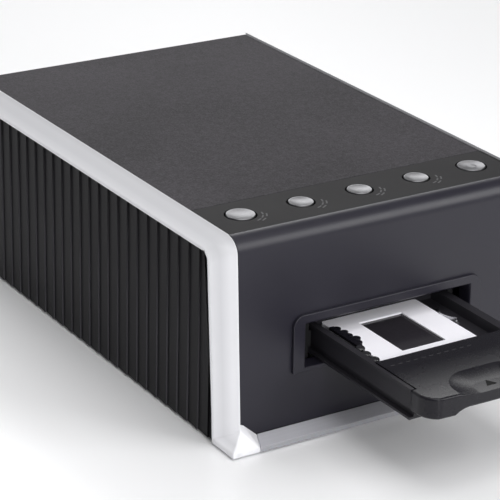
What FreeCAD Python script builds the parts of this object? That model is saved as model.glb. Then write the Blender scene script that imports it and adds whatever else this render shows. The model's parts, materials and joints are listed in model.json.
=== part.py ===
"""Tabletop slide viewer: a black box in a silver frame with a front-loading slide tray.

Axes: +X to the right of someone facing the front, +Y towards the back, +Z up.
The origin is on the table, under the middle of the whole object with its tray out.
Places inside the housing are given as x from the middle plane, depth (d) back from the
front edge of the sill, and height (h) up from the underside of the housing.
"""
import FreeCAD, Part
import math
import os
from itertools import combinations

V = FreeCAD.Vector

# ---- driving dimensions, mm ----
WIDTH = 166.5             # across the silver strips
DEPTH = 248.0             # sill's front edge to the back
HEIGHT = 92.5             # housing alone, without the feet's lift
LIFT = 0.8                # rubber feet under the housing
TRAY_REACH = 67.5         # handle in front of the sill when the tray is out
TRAY_IN = 61.5            # travel from there to fully in
SLIDE_SIDE = 50.0         # a standard slide mount is 50 mm square
GAP = 0.1                 # between shells of one body

FRONT_Y = (TRAY_REACH - DEPTH) / 2
HALF = WIDTH / 2
STRIP_X = HALF - 7.5      # inner edge of the silver side strips
PANEL_X = STRIP_X - GAP   # half width of the panels between the strips
BACK = DEPTH - GAP

# front panel, leaning back slightly towards its top
PANEL_FOOT = (9.9, 3.5)           # (d, h) of the face's lower edge
PANEL_SHOULDER = (11.35, 84.95)   # where the rounded top edge begins
PANEL_ROUND = HEIGHT - PANEL_SHOULDER[1]
PANEL_WALL = 2.5
LEAN = math.degrees(math.atan2(PANEL_SHOULDER[0] - PANEL_FOOT[0],
                               PANEL_SHOULDER[1] - PANEL_FOOT[1]))

# tray slot and its bezel
SLOT_X = 42.65            # half width of the slot
SLOT_H = (29.2, 48.6)
BEZEL_X = 48.85
BEZEL_H = (27.2, 53.2)
BEZEL_PROUD = 1.6

# top
STRIP_D = (19.0, 49.1)    # button strip, front to back
BUTTON_D = 35.2
BUTTON_PITCH = 30.0
BUTTON_R = 5.85
POWER_R = 6.65            # the two end buttons are larger
BUTTON_CLEAR = 0.4
BUTTON_PROUD = 0.4
BUTTON_TRAVEL = 0.8
BUTTONS = [((i - 2) * BUTTON_PITCH, POWER_R if i in (0, 4) else BUTTON_R) for i in range(5)]
TOP_WALL = 2.5

# tray
TRAY_X = (-34.05, 38.15)  # the spring side is wider than the peg side
TRAY_D = (-53.3, 66.0)
TRAY_H = (29.6, 43.2)
HANDLE_TOP = 43.4
FLOOR_H = (36.3, 38.3)
SLIDE_D = -0.3            # middle of the slide with the tray out
SLIDE_H = FLOOR_H[1] + 0.05
POCKET_D = (-25.5, 25.0)
TRAY_WEB = 1.4                    # depth of the grooves along its sides
TRAY_GROOVE_H = (30.7, 41.9)
COVER = 2.0                       # thickness of the plate over the tray's front half
TRAY_SCREWS = [(-22.0, -40.0), (26.0, -40.0)]

# pleated sides
PLEAT_PITCH = 8.67
PLEAT_STEP = 0.8
PLEAT_FIRST = 22.3
SIDE_OUT = HALF - 0.9
SIDE_IN = HALF - 3.9

# underside
FEET = [(x, d) for x in (-64, 64) for d in (34, 226)]
FOOT_R = 6.0
SCREWS = [(x, d) for x in (-70, 70) for d in (52, 206)]
SCREW_R = 1.5

# inside: sheet steel, rails and optics
FLOOR_PLATE_H = (3.0, 4.2)
GUIDE_D = (19.5, 134.0)
GUIDE_WALL = 3.0
TONGUE = 1.3              # how far a rail's tongue enters the tray's groove
DECK_H = (45.6, 47.0)
AXIS_D = SLIDE_D + TRAY_IN        # optical axis over the light
LIGHT_X = 27.0
LIGHT_D = (AXIS_D - 24, AXIS_D + 24)
LIGHT_H = (4.3, 25.0)
MIRROR_HALF = 20.0
LENS_H = 67.0                     # height of the folded optical axis
LENS_D = (98.0, 150.0)
LENS_R = 14.0
LENS_THICK = 5.5
BRACKET_D = (118.0, 124.0)
SENSOR_D = 162.0                  # front of the sensor's board
BOARD = 1.6                       # thickness of every circuit board

# inside: electronics and the sockets in the back panel
BOARD_H = (78.0, 78.0 + BOARD)
BOARD_POSTS = [(x, d) for x in (-45, 45) for d in (25.5, 45.0)]
MAIN_H = (10.0, 10.0 + BOARD)
SPACERS = [(x, d) for x in (-55, 57) for d in (175, 236)]
SWITCH_TOP = 83.4
VENTS = 13
BACK_WALL = 2.4
SOCKET_H = 20.5
DC_X = 44.0
DC_R = 4.6
DC_BORE_R = 2.85
DC_PIN_R = 1.05
DC_BORE_LENGTH = 9.5
AV_X = -36.0
AV_R = 4.2
AV_BORE_R = 1.8
AV_BORE_LENGTH = 14.0
USB_X = (4.0, 16.2)
USB_H = (15.2, 26.2)


# ---- helpers ----
def at(x, d, h):
    """Point of the housing in the part's own frame."""
    return V(x, FRONT_Y + d, LIFT + h)


def block(x, d, h):
    """Box between the pairs x, d and h."""
    return Part.makeBox(x[1] - x[0], d[1] - d[0], h[1] - h[0], at(x[0], d[0], h[0]))


def face_of(points):
    return Part.Face(Part.makePolygon(points + [points[0]]))


def plate_x(outline, x):
    """Prism along X over an outline of (d, h) points."""
    face = face_of([at(x[0], d, h) for d, h in outline])
    return face.extrude(V(x[1] - x[0], 0, 0))


def plate_z(outline, h):
    """Prism along Z over an outline of (x, d) points."""
    face = face_of([at(x, d, h[0]) for x, d in outline])
    return face.extrude(V(0, 0, h[1] - h[0]))


def rod(radius, start, length, axis=V(0, 0, 1)):
    return Part.makeCylinder(radius, length, start, axis)


def arc(middle, radius, start, end):
    """Arc in the side view: angles in degrees, 0 towards the back and 90 up."""
    def point(angle):
        turn = math.radians(angle)
        return middle + V(0, radius * math.cos(turn), radius * math.sin(turn))
    return Part.Arc(point(start), point((start + end) / 2), point(end)).toShape()


def line(a, b):
    return Part.LineSegment(a, b).toShape()


def hull(points):
    """Convex solid around a few points, one flat face for each supporting plane."""
    middle = sum(points, V()) * (1 / len(points))
    faces, done = [], []
    for a, b, c in combinations(points, 3):
        normal = (b - a).cross(c - a)
        if normal.Length < 1e-6:
            continue
        normal.normalize()
        if normal.dot(middle - a) > 0:
            normal = normal * -1
        if any(normal.dot(p - a) > 1e-6 for p in points):
            continue
        if any((n - normal).Length < 1e-6 and abs(n.dot(p - a)) < 1e-6 for n, p in done):
            continue
        done.append((normal, a))
        rim = [p for p in points if abs(normal.dot(p - a)) < 1e-6]
        centre = sum(rim, V()) * (1 / len(rim))
        side = (rim[0] - centre).normalize()
        up = normal.cross(side)
        rim.sort(key=lambda p: math.atan2((p - centre).dot(up), (p - centre).dot(side)))
        faces.append(face_of(rim))
    return Part.makeSolid(Part.makeShell(faces)).removeSplitter()


def fuse(*shapes):
    return shapes[0].fuse(list(shapes[1:])).removeSplitter()


def mirrored(shape):
    return shape.mirror(V(0, 0, 0), V(1, 0, 0))


def ring(outer, inner, start, length, axis=V(0, 0, 1)):
    return rod(outer, start, length, axis).cut(rod(inner, start, length, axis))


parts = {}


# ---- silver frame ----
def strip_wire(x, top, corner, face, foot):
    """Side-view outline of a strip at one x: top line, round corner, front line, back."""
    radius = top - corner[1]
    middle = at(x, corner[0] + radius, corner[1])
    outer = [at(x, BACK, top), at(x, corner[0] + radius, top)]
    lower = [at(x, corner[0], corner[1]), at(x, face[0], face[1]), at(x, foot, 0)]
    inner = [at(x, 17.6, 0), at(x, 24.0, 81.6), at(x, 26.0, 83.7), at(x, BACK, 83.7)]
    edges = [line(*outer), arc(middle, radius, 90, 180)]
    chain = lower + inner + outer[:1]
    edges += [line(a, b) for a, b in zip(chain, chain[1:])]
    return Part.Wire(edges)


def left_trim():
    """Bevelled strip along the top edge and down the front corner, with its kicked-out toe."""
    sections = [
        strip_wire(-HALF, 85.1, (21.9, 78.9), (16.2, 8.7), 16.2),
        strip_wire(-HALF + 3.4, 89.3, (16.5, 82.2), (11.2, 8.7), 11.2),
        strip_wire(-STRIP_X, HEIGHT, PANEL_SHOULDER, (6.3, 8.7), 6.3),
    ]
    strip = Part.makeLoft(sections, True, True)
    tip_x = -HALF + 13.4
    toe = hull([at(-HALF, 16.2, 2.5), at(-STRIP_X, 6.3, 8.7), at(-STRIP_X, 16.2, 8.7),
                at(-HALF, 16.2, 0), at(-STRIP_X, 16.2, 0),
                at(-HALF, 0, 2.2), at(-HALF, 0, 0), at(-STRIP_X, 0, 2.2), at(-STRIP_X, 0, 0)])
    gusset = hull([at(-STRIP_X, 6.3, 8.7), at(-STRIP_X, 9.8, 9.9), at(-STRIP_X + 2.5, 9.8, 9.9),
                   at(-HALF + 17.6, 9.8, 3.3), at(-HALF + 17.6, 9.8, 0), at(tip_x, 0, 2.2),
                   at(tip_x, 0, 0), at(-STRIP_X, 9.8, 0), at(-STRIP_X, 0, 2.2), at(-STRIP_X, 0, 0)])
    return fuse(strip, toe, gusset)


def front_sill():
    """Brushed ledge between the two toes."""
    front, back = HALF - 13.5, HALF - 17.7
    return hull([at(s * x, d, h) for s in (-1, 1)
                 for x, d, h in ((front, 0, 0), (front, 0, 2.2), (back, 9.8, 0), (back, 9.8, 3.3))])


# ---- shells ----
def front_panel():
    """Curved front with a rounded top edge, open for the slot's bezel."""
    foot_d, foot_h = PANEL_FOOT
    shoulder_d, shoulder_h = PANEL_SHOULDER
    x = -PANEL_X
    middle = at(x, shoulder_d + PANEL_ROUND, shoulder_h)
    inner_r = PANEL_ROUND - PANEL_WALL
    edges = [
        line(at(x, foot_d, foot_h), at(x, shoulder_d, shoulder_h)),
        arc(middle, PANEL_ROUND, 180, 90),
        line(at(x, shoulder_d + PANEL_ROUND, HEIGHT),
             at(x, shoulder_d + PANEL_ROUND, HEIGHT - PANEL_WALL)),
        arc(middle, inner_r, 90, 180),
        line(at(x, shoulder_d + PANEL_WALL, shoulder_h), at(x, foot_d + PANEL_WALL, foot_h)),
        line(at(x, foot_d + PANEL_WALL, foot_h), at(x, foot_d, foot_h)),
    ]
    shell = Part.Face(Part.Wire(edges)).extrude(V(2 * PANEL_X, 0, 0))
    around = SLOT_X + 1.9
    opening = block((-around, around), (0, 20), (SLOT_H[0] - 1.4, SLOT_H[1] + 1.8))
    return shell.cut(opening)


def panel_face(h):
    """Depth of the front panel's face at a height."""
    share = (h - PANEL_FOOT[1]) / (PANEL_SHOULDER[1] - PANEL_FOOT[1])
    return PANEL_FOOT[0] + share * (PANEL_SHOULDER[0] - PANEL_FOOT[0])


def slot_bezel():
    """Raised frame around the tray slot, with a sleeve through the panel."""
    middle_h = sum(SLOT_H) / 2
    face_d = panel_face(middle_h)
    flange = block((-BEZEL_X, BEZEL_X), (face_d - BEZEL_PROUD, face_d), BEZEL_H)
    corners = [e for e in flange.Edges
               if abs(e.Curve.Direction.y) > 0.9 and e.CenterOfMass.z > LIFT + middle_h]
    flange = flange.makeFillet(5.0, corners)
    around = SLOT_X + 1.6
    sleeve = block((-around, around), (face_d, face_d + 6), (SLOT_H[0] - 1.2, SLOT_H[1] + 1.5))
    opening = block((-SLOT_X, SLOT_X), (face_d - 5, face_d + 10), SLOT_H)
    funnel = hull([at(s * (SLOT_X + w), face_d - BEZEL_PROUD - 0.1 + t, h)
                   for s in (-1, 1) for w, t, bottom, top in ((0.7, 0, 0, 1.0), (0, 1.2, 0, 0))
                   for h in (SLOT_H[0] - bottom, SLOT_H[1] + top)])
    bezel = flange.fuse(sleeve).cut(opening.fuse(funnel)).removeSplitter()
    bezel.rotate(at(0, face_d, middle_h), V(1, 0, 0), -LEAN)
    return bezel


def side_panel():
    """Left pleated side: shallow steps, each facing the front."""
    outline = [(-SIDE_IN, 16.0)]
    d = PLEAT_FIRST - PLEAT_PITCH
    while d < BACK:
        near = max(d, 16.0)
        far = min(d + PLEAT_PITCH, BACK)
        outline += [(-SIDE_OUT, near)]
        outline += [(-SIDE_OUT + PLEAT_STEP * (far - d) / PLEAT_PITCH, far)]
        d += PLEAT_PITCH
    outline += [(-SIDE_IN, BACK)]
    pleats = plate_z(outline, (0.3, 83.6))
    edge = [(17.7, 0.3), (24.1, 81.6), (26.1, 83.6), (BACK, 83.6), (BACK, 0.3)]
    return pleats.common(plate_x(edge, (-HALF, -SIDE_IN + 1)))


def base_plate():
    """Bottom cover with pockets for the feet and countersinks for the screws."""
    h = (0.3, 2.7)
    plate = block((-SIDE_IN + 0.2, SIDE_IN - 0.2), (17.9, BACK), h)
    lip = block((-PANEL_X, PANEL_X), (9.9, 17.9), h)
    plate = fuse(plate, lip)
    for x, d in FEET:
        plate = plate.cut(rod(FOOT_R + 0.2, at(x, d, 0), 1.2))
    for x, d in SCREWS:
        hole = rod(SCREW_R + 0.2, at(x, d, 0), 5)
        plate = plate.cut(hole).cut(rod(2 * SCREW_R, at(x, d, 0), 1.5))
    return plate


def rubber_feet():
    feet = [rod(FOOT_R, at(x, d, -LIFT), LIFT + 1.2) for x, d in FEET]
    return Part.makeCompound(feet)


def button_strip():
    """Satin strip with five round holes and the posts that carry the button board."""
    under = HEIGHT - TOP_WALL + 0.2
    strip = block((-PANEL_X, PANEL_X), STRIP_D, (under, HEIGHT))
    for x, radius in BUTTONS:
        strip = strip.cut(rod(radius + BUTTON_CLEAR, at(x, BUTTON_D, HEIGHT - 5), 10))
    posts = [rod(2.2, at(x, d, BOARD_H[1]), under + 0.1 - BOARD_H[1]) for x, d in BOARD_POSTS]
    return fuse(strip, *posts)


def button(x, radius):
    """Dished cap on a retaining rim and a stem that ends above its switch."""
    top, low = HEIGHT + BUTTON_PROUD, HEIGHT - 4.1
    rim_top = HEIGHT - TOP_WALL + 0.15
    stem_end = SWITCH_TOP + BUTTON_TRAVEL + 0.1
    cap = rod(radius, at(x, BUTTON_D, low), top - low)
    cap = cap.makeChamfer(0.5, [e for e in cap.Edges if e.BoundBox.ZMin > LIFT + top - 0.01])
    sphere_r, dish_depth = 40.0, 0.35
    dish = Part.makeSphere(sphere_r, at(x, BUTTON_D, top - dish_depth + sphere_r))
    rim = rod(radius + 1.3, at(x, BUTTON_D, low), rim_top - low)
    stem = rod(2.0, at(x, BUTTON_D, stem_end), low + 0.5 - stem_end)
    return fuse(cap.cut(dish), rim, stem)


def back_panel():
    """Flat back with notches under the silver strips, socket holes and a row of vents."""
    through = (BACK - 5, BACK + 1)
    panel = block((-SIDE_IN + 0.2, SIDE_IN - 0.2), (BACK - BACK_WALL, BACK), (2.8, HEIGHT - 2.6))
    for x in ((-HALF, -STRIP_X + 0.2), (STRIP_X - 0.2, HALF)):
        panel = panel.cut(block(x, through, (83.5, HEIGHT)))
    for x, radius in ((DC_X, DC_R), (AV_X, AV_R)):
        panel = panel.cut(rod(radius + GAP, at(x, through[0], SOCKET_H), 10, V(0, 1, 0)))
    panel = panel.cut(block((USB_X[0] - GAP, USB_X[1] + GAP), through, (USB_H[0] - GAP, USB_H[1] + GAP)))
    for i in range(VENTS):
        x = (i - (VENTS - 1) / 2) * 5.0
        panel = panel.cut(block((x - 0.9, x + 0.9), through, (52.0, 74.0)))
    return panel


# ---- inside: carrying structure ----
def chassis():
    """Folded steel tray that everything inside stands on."""
    sheet = FLOOR_PLATE_H[1] - FLOOR_PLATE_H[0]
    half, d = SIDE_IN - 1.05, (26, 243)
    floor = block((-half, half), d, FLOOR_PLATE_H)
    walls = [block(x, d, (FLOOR_PLATE_H[0], 82.5)) for x in ((-half, -half + sheet), (half - sheet, half))]
    plate = fuse(floor, *walls)
    for x, d in SCREWS:
        plate = plate.cut(rod(SCREW_R + 0.2, at(x, d, 0), 6))
    return plate


def housing_screws():
    head_r = 2 * SCREW_R - 0.2
    screws = [fuse(rod(head_r, at(x, d, 0.3), 1.1), rod(SCREW_R, at(x, d, 0.3), 7.5)) for x, d in SCREWS]
    return Part.makeCompound(screws)


def screw_nuts():
    nuts = [ring(3.2, SCREW_R + 0.05, at(x, d, FLOOR_PLATE_H[1] + 0.05), 2.6) for x, d in SCREWS]
    return Part.makeCompound(nuts)


def tray_guide(side):
    """Rail with a tongue that runs in the groove of the tray's side."""
    wall = TRAY_X[0] - 0.4 if side < 0 else TRAY_X[1] + 0.4
    x = sorted((wall, wall + side * GUIDE_WALL))
    rail = block(x, GUIDE_D, (26.0, DECK_H[0]))
    leg = block(x, (28, GUIDE_D[1]), (FLOOR_PLATE_H[1], 26.0))
    tongue_h = (TRAY_GROOVE_H[0] + 1.8, TRAY_GROOVE_H[1] - 1.9)
    tongue = block(sorted((wall, wall - side * TONGUE)), GUIDE_D, tongue_h)
    return fuse(rail, leg, tongue)


def tray_buffer():
    """Rubber block behind the tray's inmost place."""
    near = TRAY_D[1] + TRAY_IN + 0.4
    inset = TONGUE + 0.4
    d = (near, near + 4)
    bar = block((TRAY_X[0] + inset, TRAY_X[1] - inset), d, (33.0, DECK_H[0]))
    return bar.cut(block((TRAY_X[0] + 10, TRAY_X[1] - 10), d, (36.0, 50)))


def optics_deck():
    deck = block((-40, 44), (40, 178), DECK_H)
    window = block((-16, 16), (AXIS_D - 21, AXIS_D + 21), (40, 50))
    return deck.cut(window)


# ---- inside: light and optics ----
def light_box():
    wall = 1.8
    box = block((-LIGHT_X, LIGHT_X), LIGHT_D, LIGHT_H)
    hollow = block((-LIGHT_X + wall, LIGHT_X - wall), (LIGHT_D[0] + wall, LIGHT_D[1] - wall),
                   (LIGHT_H[0] + 1.7, LIGHT_H[1] + 1))
    return box.cut(hollow)


def led_board():
    low = LIGHT_H[0] + 1.8
    return block((-24.5, 24.5), (LIGHT_D[0] + 2.5, LIGHT_D[1] - 2.5), (low, low + BOARD))


def leds():
    low = LIGHT_H[0] + 1.8 + BOARD
    chips = [block((x - 1.75, x + 1.75), (d - 1.4, d + 1.4), (low, low + 1.2))
             for x in (-16, 0, 16) for d in (AXIS_D - 15, AXIS_D, AXIS_D + 15)]
    return Part.makeCompound(chips)


def diffuser():
    return block((-LIGHT_X, LIGHT_X), LIGHT_D, (LIGHT_H[1] + GAP, 28.0))


def mirror_holder():
    """Two cheeks under a sloping back that carries the mirror at 45 degrees."""
    low, high = AXIS_D - MIRROR_HALF, AXIS_D + MIRROR_HALF
    top = DECK_H[1] + 2 * MIRROR_HALF
    cheek = [(low, DECK_H[1]), (high, DECK_H[1]), (high, top), (low + 3, DECK_H[1] + 3)]
    cheeks = [plate_x(cheek, x) for x in ((-19.5, -17.5), (17.5, 19.5))]
    back = plate_x([(low, DECK_H[1]), (low + 3, DECK_H[1]), (high, top - 3), (high, top)],
                   (-19.5, 19.5))
    return fuse(back, *cheeks)


def mirror():
    low, foot = AXIS_D - MIRROR_HALF + 3.3, DECK_H[1] + 0.1
    rise = 36.2
    across_face = 2.5
    outline = [(low, foot), (low + across_face, foot),
               (low + rise, foot + rise - across_face), (low + rise, foot + rise)]
    return plate_x(outline, (-17.3, 17.3))


def lens_barrel():
    """Stepped tube with seats for the two lenses."""
    start = at(0, LENS_D[0], LENS_H)
    y = V(0, 1, 0)
    length, seat = LENS_D[1] - LENS_D[0], 7.0
    tube = rod(LENS_R, start, length, y).fuse(rod(LENS_R + 2, start, 8, y))
    bore = rod(LENS_R - 4.5, start, length, y)
    seats = [rod(LENS_R - 2, at(0, d, LENS_H), seat, y) for d in (LENS_D[0], LENS_D[1] - seat)]
    return tube.cut(fuse(bore, *seats)).removeSplitter()


def lens(d):
    """Biconvex glass lens: half a section turned about the optical axis."""
    thick, bulge = LENS_THICK, 2.2
    radius = LENS_R - 2.1
    sphere_r = (radius ** 2 + bulge ** 2) / (2 * bulge)
    mid = radius / 2
    dip = sphere_r - math.sqrt(sphere_r ** 2 - mid ** 2)

    def p(x, back):
        return at(x, d + back, LENS_H)

    edges = [
        Part.Arc(p(0, 0), p(mid, dip), p(radius, bulge)).toShape(),
        line(p(radius, bulge), p(radius, thick - bulge)),
        Part.Arc(p(radius, thick - bulge), p(mid, thick - dip), p(0, thick)).toShape(),
        line(p(0, thick), p(0, 0)),
    ]
    return Part.Face(Part.Wire(edges)).revolve(at(0, d, LENS_H), V(0, 1, 0), 360)


def lens_bracket():
    x = (-24, 24)
    wall = block(x, BRACKET_D, (DECK_H[1], LENS_H + LENS_R + 3.5))
    foot = block(x, (BRACKET_D[0], BRACKET_D[1] + 12), (DECK_H[1], DECK_H[1] + 2))
    return fuse(wall, foot).cut(rod(LENS_R + 0.05, at(0, BRACKET_D[0] - 5, LENS_H), 20, V(0, 1, 0)))


def sensor_bracket():
    """Upright plate that the image sensor's board is fixed to."""
    near = SENSOR_D + BOARD
    wall = block((-22, 22), (near, near + 2), (DECK_H[1], 84))
    foot = block((-22, 22), (near + 2, near + 13), (DECK_H[1], DECK_H[1] + 2))
    return fuse(wall, foot)


def sensor_board():
    return block((-20, 20), (SENSOR_D, SENSOR_D + BOARD), (50, 83.5))


def image_sensor():
    return block((-7, 7), (SENSOR_D - 1.8, SENSOR_D), (LENS_H - 6, LENS_H + 6))


# ---- inside: electronics ----
def main_board():
    return block((-60, 62), (170, BACK - BACK_WALL - 1.5), MAIN_H)


def board_spacers():
    low = FLOOR_PLATE_H[1]
    spacers = [ring(2.6, 1.4, at(x, d, low), MAIN_H[0] - low) for x, d in SPACERS]
    return Part.makeCompound(spacers)


def board_chips():
    low = MAIN_H[1]
    sizes = [(-30, 195, 16, 16, 1.6), (0, 192, 12, 12, 1.4), (28, 200, 9, 6, 1.8), (-8, 218, 8, 5, 1.4)]
    chips = [block((x, x + w), (d, d + t), (low, low + h)) for x, d, w, t, h in sizes]
    cans = [rod(4.0, at(x, 208, low), 11) for x in (44, 54)]
    return Part.makeCompound(chips + cans)


def socket_body(x, depth):
    """Block on the main board behind the back panel."""
    return block(x, (BACK - depth, BACK - BACK_WALL - GAP), (MAIN_H[1], SOCKET_H + 5.5))


def socket_nose(x, radius):
    """Round collar that fills the hole in the back panel, flush with its face."""
    return rod(radius, at(x, BACK - BACK_WALL - GAP, SOCKET_H), BACK_WALL, V(0, 1, 0))


def power_socket():
    """Barrel power socket: a round bore with a centre pin."""
    y = V(0, 1, 0)
    mouth = BACK - GAP - DC_BORE_LENGTH
    body = fuse(socket_body((DC_X - 5.5, DC_X + 5.5), 16), socket_nose(DC_X, DC_R))
    bore = rod(DC_BORE_R, at(DC_X, mouth, SOCKET_H), DC_BORE_LENGTH, y)
    pin = rod(DC_PIN_R, at(DC_X, mouth - 1, SOCKET_H), DC_BORE_LENGTH, y)
    return fuse(body.cut(bore), pin)


def data_socket():
    """Square data socket with its centre tongue."""
    wall = 1.2
    shell = block(USB_X, (BACK - 16, BACK - GAP), USB_H)
    hollow = block((USB_X[0] + wall, USB_X[1] - wall), (BACK - 11, BACK), (USB_H[0] + wall, USB_H[1] - wall))
    x, h = sum(USB_X) / 2, sum(USB_H) / 2
    tongue = block((x - 2.8, x + 2.8), (BACK - 12, BACK - 2.5), (h - 1.5, h + 1.5))
    foot = block(USB_X, (BACK - 16, BACK - 2.5), (MAIN_H[1], USB_H[0]))
    return fuse(shell.cut(hollow), tongue, foot)


def video_socket():
    """Jack socket with a collar through the back panel."""
    body = fuse(socket_body((AV_X - 5, AV_X + 5), 17), socket_nose(AV_X, AV_R))
    start = at(AV_X, BACK - GAP - AV_BORE_LENGTH, SOCKET_H)
    return body.cut(rod(AV_BORE_R, start, AV_BORE_LENGTH, V(0, 1, 0)))


def button_board():
    board = block((-68, 68), (23.0, 47.5), BOARD_H)
    for x, d in BOARD_POSTS:
        board = board.cut(rod(1.2, at(x, d, 70), 20))
    return board


def board_screws():
    screws = [fuse(rod(2.4, at(x, d, BOARD_H[0] - 1.5), 1.5), rod(1.0, at(x, d, BOARD_H[0] - 1.5), 3.0))
              for x, d in BOARD_POSTS]
    return Part.makeCompound(screws)


def tact_switches():
    bodies = []
    for x, _ in BUTTONS:
        body = block((x - 3, x + 3), (BUTTON_D - 3, BUTTON_D + 3), (BOARD_H[1], SWITCH_TOP - 0.6))
        bodies.append(fuse(body, rod(1.7, at(x, BUTTON_D, SWITCH_TOP - 0.6), 0.6)))
    return Part.makeCompound(bodies)


def ribbon_cable():
    """Flat ribbon from the button board down to the main board."""
    thick = 0.4
    top, bottom, side = BOARD_H[0], 7.1, 70.9
    route = [(50, top), (side, top), (side, bottom), (42, bottom), (42, bottom + thick),
             (side - thick, bottom + thick), (side - thick, top - thick), (50, top - thick)]
    down = face_of([at(x, 34.0, h) for x, h in route]).extrude(V(0, 8, 0))
    run = block((42, 52), (42.0, 188.0), (bottom, bottom + thick))
    rise = block((42, 52), (188.0 - thick, 188.0), (bottom + thick, MAIN_H[0]))
    return fuse(down, run, rise)


# ---- tray ----
def tray_frame():
    """Shallow drawer: grooved rails, a floor with a light window, and the slide's pocket."""
    x0, x1 = TRAY_X
    inside = (x0 + 3.15, x1 - 4.4)
    wall, above = 1.8, 60.0
    bed_h = HANDLE_TOP - COVER - 0.05
    body = block(TRAY_X, TRAY_D, TRAY_H)
    for x in ((x0 - 1, x0 + TRAY_WEB), (x1 - TRAY_WEB, x1 + 1)):
        body = body.cut(block(x, (TRAY_D[0] - 1, TRAY_D[1] + 1), TRAY_GROOVE_H))
    for x in ((x0 - 1, x0 + TRAY_WEB + 0.9), (x1 - TRAY_WEB - 0.9, x1 + 1)):
        body = body.cut(block(x, (TRAY_D[0] - 1, TRAY_D[1] + 1), (TRAY_GROOVE_H[0], TRAY_GROOVE_H[0] + 2.9)))
    under = block(inside, (TRAY_D[0] + wall, TRAY_D[1] - wall), (20, FLOOR_H[0]))
    pocket = block(inside, POCKET_D, (FLOOR_H[1], above))
    cover_bed = block((x0 + 1.85, x1 - 1.85), (TRAY_D[0] - 1, POCKET_D[0] + 0.1), (bed_h, above))
    front_hollow = block(inside, (TRAY_D[0] + wall, POCKET_D[0] - wall), (FLOOR_H[1], above))
    window = block((-12.2, 12.2), (SLIDE_D - 18.5, SLIDE_D + 18.5), (30, 45))
    body = body.cut(under.fuse([pocket, cover_bed, front_hollow, window]))
    for x, d in TRAY_SCREWS:
        body = fuse(body, ring(2.4, 1.1, at(x, d, FLOOR_H[0]), bed_h - FLOOR_H[0]))
        body = body.cut(rod(1.1, at(x, d, FLOOR_H[0] - 1), 4))
    return body


def tray_handle():
    """Cover plate and grip in one moulding: rounded corners, thumb dish, scooped underside."""
    x0, x1 = TRAY_X[0] - 0.2, TRAY_X[1] + 0.2
    back = TRAY_D[0] - 0.15
    front = -TRAY_REACH
    corner = 9.6
    side_front = front + 1.2
    middle = (x0 + x1) / 2
    h0, h1 = 34.0, HANDLE_TOP
    turn = corner * math.sqrt(0.5)
    scoop_h = h0 + 2.5

    def p(x, d):
        return at(x, d, h0)

    edges = [
        line(p(x0, back), p(x0, side_front + corner)),
        Part.Arc(p(x0, side_front + corner), p(x0 + corner - turn, side_front + corner - turn),
                 p(x0 + corner, side_front)).toShape(),
        Part.Arc(p(x0 + corner, side_front), p(middle, front), p(x1 - corner, side_front)).toShape(),
        Part.Arc(p(x1 - corner, side_front), p(x1 - corner + turn, side_front + corner - turn),
                 p(x1, side_front + corner)).toShape(),
        line(p(x1, side_front + corner), p(x1, back)),
        line(p(x1, back), p(x0, back)),
    ]
    grip = Part.Face(Part.Wire(edges)).extrude(V(0, 0, h1 - h0))
    rim = [e for e in grip.Edges
           if e.BoundBox.ZMin > LIFT + h1 - 0.01 and e.BoundBox.YMin < FRONT_Y + back - 1]
    grip = grip.makeFillet(1.2, rim)
    wide, narrow = 22.5, 16.5
    inner = [(middle - wide, h0 - 1), (middle - narrow, scoop_h), (middle + narrow, scoop_h),
             (middle + wide, h0 - 1)]
    scoop = face_of([at(x, front - 1, h) for x, h in inner]).extrude(V(0, TRAY_REACH - 52, 0))
    cover = block((TRAY_X[0] + 2.6, TRAY_X[1] - 2.6), (back - 1, POCKET_D[0]), (h1 - COVER, h1))
    dish_depth, slope = 1.7, 5.0
    rim_half, rim_back = 20.5, -49.3
    dish = Part.makeLoft([dish_wire(rim_half, rim_back, h1 + 0.01, 9.0),
                          dish_wire(rim_half - slope, rim_back - slope, h1 - dish_depth, 6.0)],
                         True, True)
    return fuse(grip, cover).cut(scoop).cut(dish)


def dish_wire(half, back, h, corner):
    """Outline of the thumb dish at one height: round at the back, open past the front."""
    front = -TRAY_REACH - 5
    turn = corner * (1 - math.sqrt(0.5))
    left, right = -half, half
    return Part.Wire([
        line(at(left, front, h), at(left, back - corner, h)),
        Part.Arc(at(left, back - corner, h), at(left + turn, back - turn, h),
                 at(left + corner, back, h)).toShape(),
        line(at(left + corner, back, h), at(right - corner, back, h)),
        Part.Arc(at(right - corner, back, h), at(right - turn, back - turn, h),
                 at(right, back - corner, h)).toShape(),
        line(at(right, back - corner, h), at(right, front, h)),
        line(at(right, front, h), at(left, front, h)),
    ])


def tray_screws():
    low = FLOOR_H[0] - 1.6
    screws = [fuse(rod(2.2, at(x, d, low), 1.5), rod(1.05, at(x, d, low), 6.5)) for x, d in TRAY_SCREWS]
    return Part.makeCompound(screws)


def slide_pegs():
    """Comb of three round pegs that the slide is pressed against."""
    tall = 4.1
    base = block((TRAY_X[0] + 3.3, -27.0), (-24.0, -5.0), (FLOOR_H[1], SLIDE_H + 0.9))
    pegs = []
    for x, d in ((-27.6, -8.6), (-28.6, -14.5), (-28.6, -20.6)):
        peg = rod(2.2, at(x, d, SLIDE_H), tall)
        rim = [e for e in peg.Edges if e.BoundBox.ZMin > LIFT + SLIDE_H + tall - 0.1]
        pegs.append(peg.makeFillet(0.8, rim))
    return fuse(base, *pegs)


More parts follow.
